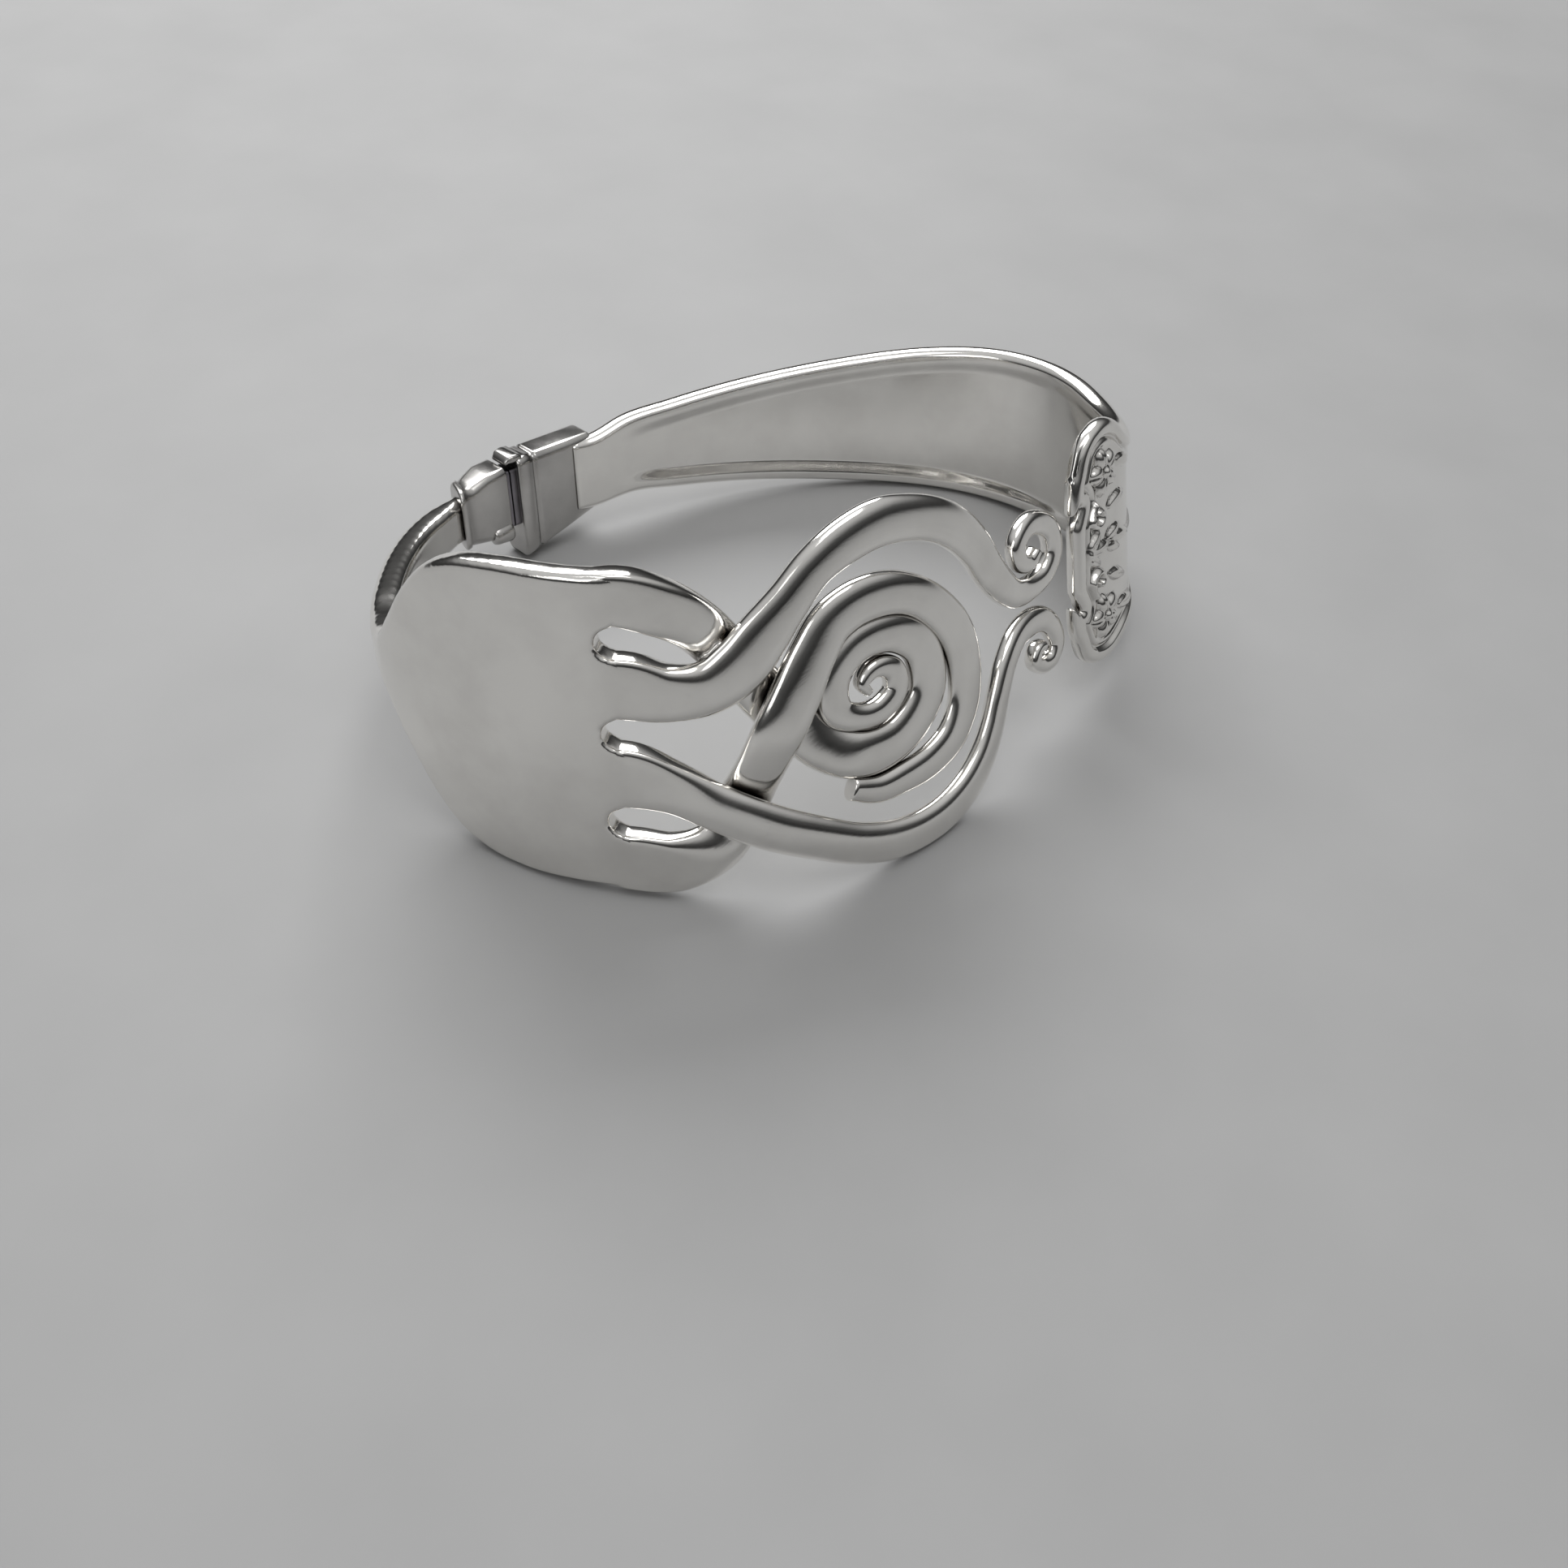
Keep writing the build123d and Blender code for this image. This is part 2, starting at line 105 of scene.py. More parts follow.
def smooth_curve(places, values, spot):
    """Smooth curve through values at rising places, read at each spot."""
    places, values = np.array(places), np.array(values)
    slopes = np.gradient(values, places)
    k = np.clip(np.searchsorted(places, spot) - 1, 0, len(places) - 2)
    gap = places[k + 1] - places[k]
    t = (spot - places[k]) / gap
    return hermite(t, values[k], slopes[k] * gap, values[k + 1], slopes[k + 1] * gap)


def periodic_spline(points):
    """Smooth closed curve: samples, unit tangents, arc length at each sample and whole length."""
    points = np.asarray(points, float)
    n = len(points)
    gaps = np.linalg.norm(np.roll(points, -1, 0) - points, axis=1)
    before = np.roll(gaps, 1)
    rows = np.zeros((n, n))
    right = np.zeros((n, 2))
    for i in range(n):
        rows[i, i - 1] += gaps[i]
        rows[i, i] += 2 * (gaps[i] + before[i])
        rows[i, (i + 1) % n] += before[i]
        ahead = (points[(i + 1) % n] - points[i]) / gaps[i]
        behind = (points[i] - points[i - 1]) / before[i]
        right[i] = 3 * (gaps[i] * behind + before[i] * ahead)
    slopes = np.linalg.solve(rows, right)
    t = np.linspace(0, 1, SPLINE_STEPS, endpoint=False)[:, None]
    samples, tangents = [], []
    for i in range(n):
        p, q, h = points[i], points[(i + 1) % n], gaps[i]
        a, b = slopes[i] * h, slopes[(i + 1) % n] * h
        samples.append(hermite(t, p, a, q, b))
        way = (p * (6 * t**2 - 6 * t) + a * (3 * t**2 - 4 * t + 1) + q * (6 * t - 6 * t**2)
               + b * (3 * t**2 - 2 * t))
        tangents.append(way / np.linalg.norm(way, axis=1)[:, None])
    samples, tangents = np.vstack(samples), np.vstack(tangents)
    steps = np.linalg.norm(np.roll(samples, -1, 0) - samples, axis=1)
    return samples, tangents, np.concatenate([[0], np.cumsum(steps)[:-1]]), steps.sum()


LOOP, LOOP_WAY, LOOP_ARC, LOOP_LENGTH = periodic_spline(
    [(x * LOOP_HALF_LENGTH, y * LOOP_HALF_DEPTH) for x, y in LOOP_PLAN])


def wall(along, across, out):
    """Points on the bracelet's wall from arc length, height across it and distance outward."""
    along = np.asarray(along, float)
    way = along % LOOP_LENGTH
    middle, forward = (
        np.stack([np.interp(way, LOOP_ARC, table[:, k], period=LOOP_LENGTH) for k in (0, 1)], -1)
        for table in (LOOP, LOOP_WAY))
    forward /= np.linalg.norm(forward, axis=-1)[..., None]
    rise = eased((along - LEAN_GROWS * RING_RADIUS) / (LEAN_GROWTH * RING_RADIUS))
    fall = eased((along - LEAN_FADES * RING_RADIUS) / (LEAN_FADE * RING_RADIUS))
    lean = np.radians(FRONT_LEAN) * rise * (1 - fall)
    side = np.stack([forward[..., 1], -forward[..., 0]], -1)
    outward = np.concatenate([side * np.cos(lean)[..., None], np.sin(lean)[..., None]], -1)
    upward = np.concatenate([-side * np.sin(lean)[..., None], np.cos(lean)[..., None]], -1)
    base = np.concatenate([middle, np.zeros(middle.shape[:-1] + (1,))], -1)
    return base + upward * np.asarray(across)[..., None] + outward * np.asarray(out)[..., None]


def crowded(columns, crowding):
    """Shares from -1 to 1 that lie closer together towards both ends."""
    turn = np.linspace(-1, 1, columns) * math.pi / 2 * crowding
    return np.sin(turn) / math.sin(math.pi / 2 * crowding)


def edge_fall(distance, edge):
    """How far a quarter-round edge has fallen at a distance in from it."""
    return edge * (1 - np.sqrt(np.clip(1 - (1 - np.clip(distance / edge, 0, 1)) ** 2, 0, 1)))


# Camera at the photograph's viewpoint: eye and aim in the loop's frame, in millimetres
CAMERA_EYE = (-59.7, -98.8, 65.3)
CAMERA_AIM = (-15.4, -27.9, 0.0)
SENSOR_WIDTH = 36
FOCAL_LENGTH = 36.09
CLIP_START = 0.005


def place_camera():
    data = bpy.data.cameras.new("camera")
    data.sensor_width = SENSOR_WIDTH
    data.lens = FOCAL_LENGTH
    data.clip_start = CLIP_START
    camera = bpy.data.objects.new("camera", data)
    bpy.context.scene.collection.objects.link(camera)
    eye = Vector(rest(CAMERA_EYE))
    aim = Vector(rest(CAMERA_AIM))
    above = Vector(REST @ np.array([0, 0, 1.0]))
    back = (eye - aim).normalized()
    right = above.cross(back).normalized()
    turn = Matrix((right, back.cross(right), back)).transposed()
    camera.matrix_world = Matrix.Translation(eye) @ turn.to_4x4()
    bpy.context.scene.camera = camera


# Materials: noise scales are waves a metre, and reaches and depths are metres
CLOUDS = {"scale": 160, "detail": 4, "rough": 0.6}
HAIRLINES = {"scale": 900, "detail": 2, "rough": 0.5, "stretch": (1, 14, 1)}
CROSS_HAIRLINES = {"scale": 1100, "detail": 2, "rough": 0.5, "stretch": (16, 1, 3)}
WAVES = {"scale": 95, "detail": 2, "rough": 0.4}
FLOOR_GRAIN = {"scale": 60, "detail": 4, "rough": 0.5}
WAVE_STRENGTH, WAVE_DEPTH = 0.35, 0.00012
HAIRLINE_STRENGTH, HAIRLINE_DEPTH = 0.05, 0.00004
CLOUD_DULL, CLOUD_BRIGHT = 0.30, 0.62
# Painted shade: ambient occlusion within this reach, in metres, turns the metal's colour towards a dark
# shade colour in recesses and between parts
PAINTED_SHADE_REACH = 0.0009
PAINTED_SHADE_SAMPLES = 6
PAINTED_SHADE_DARKEST, PAINTED_SHADE_NONE = 0.25, 0.75
ROUGH_FROM, ROUGH_TO, ROUGH_RANGE = 0.3, 0.7, 0.10

# Sockets of the mix node that hold its two colours and its result
MIX_FIRST, MIX_SECOND, MIX_RESULT = 6, 7, 2


def new_material(name):
    material = bpy.data.materials.new(name)
    material.use_nodes = True
    nodes, links = material.node_tree.nodes, material.node_tree.links
    return material, nodes, links, nodes["Principled BSDF"]


def noise(nodes, links, place, scale, detail, rough, stretch=None):
    texture = nodes.new("ShaderNodeTexNoise")
    texture.inputs["Scale"].default_value = scale
    texture.inputs["Detail"].default_value = detail
    texture.inputs["Roughness"].default_value = rough
    source = place
    if stretch:
        mapping = nodes.new("ShaderNodeMapping")
        mapping.inputs["Scale"].default_value = stretch
        links.new(place, mapping.inputs["Vector"])
        source = mapping.outputs["Vector"]
    links.new(source, texture.inputs["Vector"])
    return texture.outputs["Fac"]


def ramp(nodes, links, value, stops):
    node = nodes.new("ShaderNodeValToRGB")
    points = node.color_ramp.elements
    while len(points) < len(stops):
        points.new(0.5)
    for point, (at, colour) in zip(points, stops):
        point.position = at
        point.color = (*colour, 1)
    links.new(value, node.inputs["Fac"])
    return node.outputs["Color"]


def map_range(nodes, links, value, low, high, to_low=0.0, to_high=1.0):
    node = nodes.new("ShaderNodeMapRange")
    limits = {"From Min": low, "From Max": high, "To Min": to_low, "To Max": to_high}
    for name, number in limits.items():
        node.inputs[name].default_value = number
    links.new(value, node.inputs["Value"])
    return node.outputs["Result"]


def bump(nodes, links, height, strength, depth):
    node = nodes.new("ShaderNodeBump")
    node.inputs["Strength"].default_value = strength
    node.inputs["Distance"].default_value = depth
    links.new(height, node.inputs["Height"])
    return node


def silver_material(name, bright, dull, rough, painted_shade_colour):
    """Polished metal: cloudy tone, hairline scratches, soft hammer waves, and painted shade that
    darkens its recesses.
    """
    material, nodes, links, shader = new_material(name)
    place = nodes.new("ShaderNodeTexCoord").outputs["Object"]
    cloud = noise(nodes, links, place, **CLOUDS)
    # Painted shade: ambient occlusion mixes the shade colour into the metal's colour in recesses and
    # between parts
    painted_shade_occlusion = nodes.new("ShaderNodeAmbientOcclusion")
    painted_shade_occlusion.samples = PAINTED_SHADE_SAMPLES
    painted_shade_occlusion.inputs["Distance"].default_value = PAINTED_SHADE_REACH
    shade = nodes.new("ShaderNodeMix")
    shade.data_type = "RGBA"
    colour = ramp(nodes, links, cloud, [(CLOUD_DULL, dull), (CLOUD_BRIGHT, bright)])
    shade.inputs[MIX_FIRST].default_value = (*painted_shade_colour, 1)
    links.new(colour, shade.inputs[MIX_SECOND])
    clear = map_range(nodes, links, painted_shade_occlusion.outputs["AO"], PAINTED_SHADE_DARKEST, PAINTED_SHADE_NONE)
    links.new(clear, shade.inputs["Factor"])
    links.new(shade.outputs[MIX_RESULT], shader.inputs["Base Color"])
    shader.inputs["Metallic"].default_value = 1.0
    links.new(map_range(nodes, links, cloud, ROUGH_FROM, ROUGH_TO, rough, rough + ROUGH_RANGE),
              shader.inputs["Roughness"])
    scratches = nodes.new("ShaderNodeMath")
    scratches.operation = "ADD"
    links.new(noise(nodes, links, place, **HAIRLINES), scratches.inputs[0])
    links.new(noise(nodes, links, place, **CROSS_HAIRLINES), scratches.inputs[1])
    wave = bump(nodes, links, noise(nodes, links, place, **WAVES), WAVE_STRENGTH, WAVE_DEPTH)
    scratch = bump(nodes, links, scratches.outputs[0], HAIRLINE_STRENGTH, HAIRLINE_DEPTH)
    links.new(wave.outputs["Normal"], scratch.inputs["Normal"])
    links.new(scratch.outputs["Normal"], shader.inputs["Normal"])
    return material


# Each metal's last colour is the painted shade that darkens its recesses
silver = silver_material(
    "silver", bright=(0.90, 0.885, 0.855), dull=(0.80, 0.785, 0.755), rough=0.065,
    painted_shade_colour=(0.16, 0.145, 0.13))
# The clasp's metal is rougher than the silver. Its darker colours are painted shade that stands in for
# the dark surroundings it reflects
clasp_metal = silver_material(
    "clasp_metal", bright=(0.60, 0.59, 0.57), dull=(0.46, 0.45, 0.44), rough=0.17,
    painted_shade_colour=(0.09, 0.085, 0.08))
magnet_metal = silver_material(
    "magnet_metal", bright=(0.36, 0.34, 0.37), dull=(0.22, 0.21, 0.23), rough=0.32,
    painted_shade_colour=(0.05, 0.05, 0.05))


# Meshes and closed skins; a skin is its points in the loop's frame and its faces
def finished(name, mesh, material):
    """Object for a mesh, smooth but for its end caps, which have more than four corners."""
    for polygon in mesh.polygons:
        polygon.use_smooth = len(polygon.vertices) <= 4
        polygon.material_index = 0
    mesh.materials.clear()
    mesh.materials.append(material)
    piece = bpy.data.objects.new(name, mesh)
    bpy.context.scene.collection.objects.link(piece)
    return piece


def mesh_piece(name, vertices, faces, material):
    mesh = bpy.data.meshes.new(name)
    mesh.from_pydata([tuple(v) for v in vertices], [], [tuple(f) for f in faces])
    mesh.validate()
    mesh.update()
    return finished(name, mesh, material)


def joined(skins):
    """Vertices at rest and faces of several skins as one mesh."""
    vertices, faces, start = [], [], 0
    for points, skin in skins:
        vertices.append(rest(points))
        faces += [[k + start for k in face] for face in skin]
        start += len(points)
    return np.vstack(vertices), faces


def tube_faces(count, around):
    """Faces of a skin through a row of rings, with a cap on the first and the last."""
    faces = [[i * around + k, i * around + (k + 1) % around,
              (i + 1) * around + (k + 1) % around, (i + 1) * around + k]
             for i in range(count - 1) for k in range(around)]
    faces.append(list(range(around - 1, -1, -1)))
    faces.append([(count - 1) * around + k for k in range(around)])
    return faces


# Handle's outline. Rows: place from the tip's end in tip widths, or along the band in shares of it,
# then half width and the middle's height, both as shares of half the tip's or the band's width
TIP_OUTLINE = [
    (0.00, 0.58, 0.075), (0.028, 0.71, 0.075), (0.05, 0.82, 0.075), (0.10, 0.935, 0.075),
    (0.15, 0.98, 0.075), (0.235, 1.00, 0.07), (0.34, 0.94, 0.045), (0.42, 0.86, 0.00),
    (0.50, 0.80, -0.04), (0.66, 0.735, -0.07), (0.85, 0.685, -0.075), (1.02, 0.68, -0.07),
]
BAND_OUTLINE = [
    (0.06, 0.985, -0.075), (0.13, 1.00, -0.045), (0.22, 0.99, -0.015), (0.36, 0.92, 0.0),
    (0.52, 0.81, 0.0), (0.68, 0.69, 0.0), (0.84, 0.57, 0.0), (0.93, 0.505, 0.0),
]
BAND_START = 1.02 * TIP_WIDTH
HANDLE_END = SOCKET_MOUTH - TIP_END + TONGUE

# The tip's end line: two notches, a middle lobe that stands back, and round corners
END_WIDTH_SHARE = 0.60
NOTCH = 0.32 * TIP_WIDTH / 2
NOTCH_HALF, NOTCH_DEPTH = 0.42, 0.9
LOBE_BACK, LOBE_RUN = 0.25, 0.8
CORNER_DEPTH, CORNER_REACH, CORNER_POWER = 0.5, 1.02, 8
END_LINE_FADE = 6.0

# Handle's grid: columns across it, and rows as runs of (from, to, count) back from the tip's end
HANDLE_COLUMNS = 173
HANDLE_CROWDING = 0.72
EDGE_ROWS, EDGE_RUN, EDGE_CROWDING = 16, 1.2, 1.4
LAST_ROW = HANDLE_END - 0.01
ROW_RUNS = [(EDGE_RUN, 10.0, 75), (10.0, 24.0, 40), (24.0, LAST_ROW, 90)]
SPOTS_AT_ONCE = 2000

# Handle's section, in millimetres: from the tip's thickness to the band's, edges, and how far in
# from the edge the sunk field begins; groove and bead as (distance in, half width, height)
THICKENING_START, THICKENING_RUN = 10.0, 14.0
EDGE_ROUND = 0.7
RIM_WIDTH, RIM_SLOPE = 1.05, 0.40
FIELD_DEPTH = 0.34
RIM_GROOVE = (1.50, 0.13, 0.13)
RIM_BEAD = (1.95, 0.22, 0.14)
FIELD_END, FIELD_FADE = 12.0, 7.0
ORNAMENT_INSET, ORNAMENT_FADE = 1.6, 0.5
ORNAMENT_SCALE = 1.5

# Hollow of the inner face between the band's raised edges
DISH_DEPTH = 0.34
DISH_INSET, DISH_SLOPE = 0.9, 1.4
DISH_START, DISH_RUN = 4.0, 8.0
DISH_STOP, DISH_STOP_RUN = 9, 5

# Over how many tip widths the tip bends back in to the band's level
STAND_RUN = 0.9


def handle_shape(reach):
    """Half width of the handle and height of its middle, at a reach from its end."""
    length = HANDLE_END - TONGUE - BAND_START
    places = [share * TIP_WIDTH for share, _, _ in TIP_OUTLINE]
    places += [BAND_START + share * length for share, _, _ in BAND_OUTLINE]
    widths = [share * TIP_WIDTH / 2 for _, share, _ in TIP_OUTLINE]
    widths += [share * BAND_WIDTH / 2 for _, share, _ in BAND_OUTLINE]
    lifts = [lift * TIP_WIDTH / 2 for _, _, lift in TIP_OUTLINE]
    lifts += [lift * BAND_WIDTH / 2 for _, _, lift in BAND_OUTLINE]
    places += [BAND_START + length, HANDLE_END]
    widths += [BAND_END_WIDTH / 2] * 2
    lifts += [-CLASP_DROP] * 2
    return smooth_curve(places, widths, reach), smooth_curve(places, lifts, reach)


# Ornament of the tip's face, in millimetres: places are reach from the tip's end and side from its
# middle line, and angles are degrees
FLOWER_AT, FLOWER_SIZE, FLOWER_PETALS, FLOWER_TURN = (4.6, 6.4), 1.9, 5, 36
PETAL_AWAY, PETAL_LONG, PETAL_WIDE, PETAL_HEIGHT = 0.60, 0.50, 0.38, 0.38
PISTIL_SHARE, PISTIL_HEIGHT = 0.28, 0.50
SCROLL_AT, SCROLL_RADIUS, SCROLL_START, SCROLL_TURNS = (3.6, 2.9), 1.25, 120, 1.0
SCROLL_SHRINK, SCROLL_POINTS = 0.80, 26
SCROLL_HALF, SCROLL_HEIGHT = 0.36, 0.36
STEM = [(1.2, 3.4), (1.8, 3.75), (2.5, 4.1), (3.0, 4.0)]
STEM_HALF, STEM_HEIGHT = 0.55, 0.38
RIDGE_SHRINK = 0.45
LEAF_BELLY, LEAF_FULLNESS, LEAF_LEAST_HALF = 0.8, 0.75, 0.0001
BUD_AT, BUD_SIZE, BUD_HEIGHT = (1.9, 0.0), 0.45, 0.44

# Grooves as (place, half width, depth): a leaf's vein in shares of its relief, and a petal's crease
VEIN = (0, 0.11, 0.32)
CREASE = (0, 0.10, 0.09)

# Leaves as (place, side, angle, length, half width, relief): pairs that mirror each other, and
# those on the middle line
PAIRED_LEAVES = [
    (6.9, 6.6, -4, 3.6, 0.62, 0.30), (5.3, 3.0, 16, 3.4, 0.55, 0.30),
    (2.0, 0.25, 34, 2.3, 0.50, 0.34), (5.0, 0.35, 17, 2.6, 0.42, 0.30),
]
MIDDLE_LEAVES = [(2.1, 0.0, 0, 3.2, 0.56, 0.40), (5.7, 0.0, 0, 4.2, 0.50, 0.34)]


def turned(reach, side, at, angle):
    """The same spots from another origin, along and across a direction."""
    a = math.radians(angle)
    across, up = reach - at[0], side - at[1]
    return across * math.cos(a) + up * math.sin(a), -across * math.sin(a) + up * math.cos(a)


def dome(reach, side, at, angle, length, width, height):
    u, v = turned(reach, side, at, angle)
    return height * np.sqrt(np.clip(1 - (u / length) ** 2 - (v / width) ** 2, 0, 1))


def leaf(reach, side, at, angle, length, width, height):
    """Pointed leaf, highest in its middle, with a sunk vein."""
    u, v = turned(reach, side, at, angle)
    share = np.clip(u / length, 0, 1)
    half = width * np.sin(math.pi * share ** LEAF_BELLY) ** LEAF_FULLNESS + LEAF_LEAST_HALF
    relief = height * (0.5 + 0.5 * np.sin(math.pi * share))
    body = relief * np.sqrt(np.clip(1 - (v / half) ** 2, 0, 1))
    return body * (1 - swell(v, *VEIN))


def ridge(reach, side, points, half, height):
    """Rounded ridge along a path of points; its width shrinks towards the last."""
    points = np.asarray(points, float)
    best = np.zeros(reach.shape)
    for k in range(len(points) - 1):
        a, b = points[k], points[k + 1]
        run = b - a
        t = np.clip(((reach - a[0]) * run[0] + (side - a[1]) * run[1]) / (run @ run), 0, 1)
        away = np.hypot(reach - a[0] - t * run[0], side - a[1] - t * run[1])
        width = half * (1 - RIDGE_SHRINK * (k + t) / (len(points) - 1))
        best = np.maximum(best, height * np.sqrt(np.clip(1 - (away / width) ** 2, 0, 1)))
    return best


def volute(hand):
    """Points of a scroll that winds in to a fifth of its radius, on one side of the middle line."""
    steps = np.linspace(0, 1, SCROLL_POINTS)
    angle = np.radians(hand * SCROLL_START + hand * 360 * SCROLL_TURNS * steps)
    size = SCROLL_RADIUS * (1 - SCROLL_SHRINK * steps)
    reach = SCROLL_AT[0] + size * np.cos(angle)
    side = hand * SCROLL_AT[1] + size * np.sin(angle)
    return np.stack([reach, side], 1)


def flower(reach, side, hand):
    """Open flower with creased petals round a domed middle, on one side of the middle line."""
    at, size = (FLOWER_AT[0], hand * FLOWER_AT[1]), FLOWER_SIZE
    layers = [dome(reach, side, at, 0, PISTIL_SHARE * size, PISTIL_SHARE * size, PISTIL_HEIGHT)]
    for number in range(FLOWER_PETALS):
        angle = hand * FLOWER_TURN + 360 / FLOWER_PETALS * number
        a = math.radians(angle)
        spot = (at[0] + PETAL_AWAY * size * math.cos(a), at[1] + PETAL_AWAY * size * math.sin(a))
        petal = dome(reach, side, spot, angle, PETAL_LONG * size, PETAL_WIDE * size, PETAL_HEIGHT)
        layers.append(petal - swell(turned(reach, side, spot, angle)[1], *CREASE))
    return np.max(layers, axis=0)


def ornament(reach, side):
    """Flowers in the outer lobes, and scrolls and leaves that spring from the notches."""
    layers = []
    for hand in (1, -1):
        stem = [(place, hand * up) for place, up in STEM]
        layers.append(flower(reach, side, hand))
        layers.append(ridge(reach, side, volute(hand), SCROLL_HALF, SCROLL_HEIGHT))
        layers.append(ridge(reach, side, stem, STEM_HALF, STEM_HEIGHT))
        for place, up, angle, *size in PAIRED_LEAVES:
            layers.append(leaf(reach, side, (place, hand * up), hand * angle, *size))
    for place, up, angle, *size in MIDDLE_LEAVES:
        layers.append(leaf(reach, side, (place, up), angle, *size))
    layers.append(dome(reach, side, BUD_AT, 0, BUD_SIZE, BUD_SIZE, BUD_HEIGHT))
    return np.maximum(np.max(layers, axis=0), 0)


def end_line(share):
    """How far the tip's end stands back at each share of its width."""
    side = share * END_WIDTH_SHARE * TIP_WIDTH / 2
    notches = swell(side, NOTCH, NOTCH_HALF, NOTCH_DEPTH) + swell(side, -NOTCH, NOTCH_HALF, NOTCH_DEPTH)
    lobe = LOBE_BACK * (1 - eased((np.abs(side) - NOTCH + LOBE_RUN / 2) / LOBE_RUN))
    corners = CORNER_DEPTH * (1 - np.sqrt(np.clip(1 - (share / CORNER_REACH) ** CORNER_POWER, 0, 1)))
    return notches + lobe + corners


def handle_grid():
    """Reach from the tip's end, height across and height of the middle, for each row and column."""
    share = crowded(HANDLE_COLUMNS, HANDLE_CROWDING)
    edge = np.linspace(0, 1, EDGE_ROWS)[:-1] ** EDGE_CROWDING * EDGE_RUN
    runs = [np.linspace(*run)[:-1] for run in ROW_RUNS[:-1]]
    rows = np.concatenate([edge] + runs + [np.linspace(*ROW_RUNS[-1])])
    reach = end_line(share)[None, :] * (1 - eased(rows / END_LINE_FADE))[:, None] + rows[:, None]
    half_width, lift = handle_shape(np.clip(reach, 0, HANDLE_END))
    return reach, share[None, :] * half_width, lift


def outline_distance(reach, side):
    """Distance from each spot of the handle's grid to its outline, without its cut end."""
    lines = ((reach[:, 0], side[:, 0]), (reach[:, -1], side[:, -1]), (reach[0], side[0]))
    border = np.concatenate([np.stack(line, 1) for line in lines])
    spots = np.stack([reach.ravel(), side.ravel()], 1)
    distance = np.empty(len(spots))
    for start in range(0, len(spots), SPOTS_AT_ONCE):
        part = spots[start:start + SPOTS_AT_ONCE]
        apart = part[:, None, :] - border[None, :, :]
        distance[start:start + SPOTS_AT_ONCE] = np.sqrt((apart ** 2).sum(2).min(1))
    return distance.reshape(reach.shape)


def handle_levels(reach, side):
    """Levels of the handle's outer and inner face, in millimetres out from the wall's middle."""
    distance = outline_distance(reach, side)
    thick = TIP_THICK + (BAND_THICK - TIP_THICK) * eased((reach - THICKENING_START) / THICKENING_RUN)
    half = thick / 2 - edge_fall(distance, EDGE_ROUND) * (thick / 2 / EDGE_ROUND)
    on_tip = 1 - eased((reach - FIELD_END) / FIELD_FADE)
    sunk = (FIELD_DEPTH * eased((distance - RIM_WIDTH) / RIM_SLOPE) + swell(distance, *RIM_GROOVE)
            - swell(distance, *RIM_BEAD))
    inside = eased((distance - ORNAMENT_INSET) / ORNAMENT_FADE)
    outer = half - on_tip * sunk + inside * on_tip * ORNAMENT_SCALE * ornament(reach, side)
    dish = eased((distance - DISH_INSET) / DISH_SLOPE) * eased((reach - DISH_START) / DISH_RUN)
    dish = dish * (1 - eased((reach - HANDLE_END + DISH_STOP) / DISH_STOP_RUN))
    stand = TIP_OUT * (1 - eased(reach / TIP_WIDTH / STAND_RUN))
    return outer + stand, -half + DISH_DEPTH * dish + stand


def sheet_faces(count, columns):
    """Faces of a sheet whose top and underside share the corners of its first row and its sides."""
    base = count * columns

    def under(i, j):
        shared = i == 0 or j in (0, columns - 1)
        return i * columns + j if shared else base + i * columns + j

    faces = []
    for i in range(count - 1):
        for j in range(columns - 1):
            corners = ((i, j), (i, j + 1), (i + 1, j + 1), (i + 1, j))
            faces.append([corners[k][0] * columns + corners[k][1] for k in (0, 3, 2, 1)])
            faces.append([under(*corner) for corner in corners])
    last = count - 1
    faces.append([last * columns + j for j in range(columns - 1, -1, -1)]
                 + [under(last, j) for j in range(1, columns - 1)])
    return faces


def build_handle():
    """The band and its ornate tip."""
    reach, side, lift = handle_grid()
    outer, inner = handle_levels(reach, side)
    sheets = [wall(TIP_END + reach, side + lift, level).reshape(-1, 3) for level in (outer, inner)]
    vertices = rest(np.vstack(sheets))
    piece = mesh_piece("silver_handle", vertices, sheet_faces(*reach.shape), silver)
    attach(piece, "root")
    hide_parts("spoon_handle")


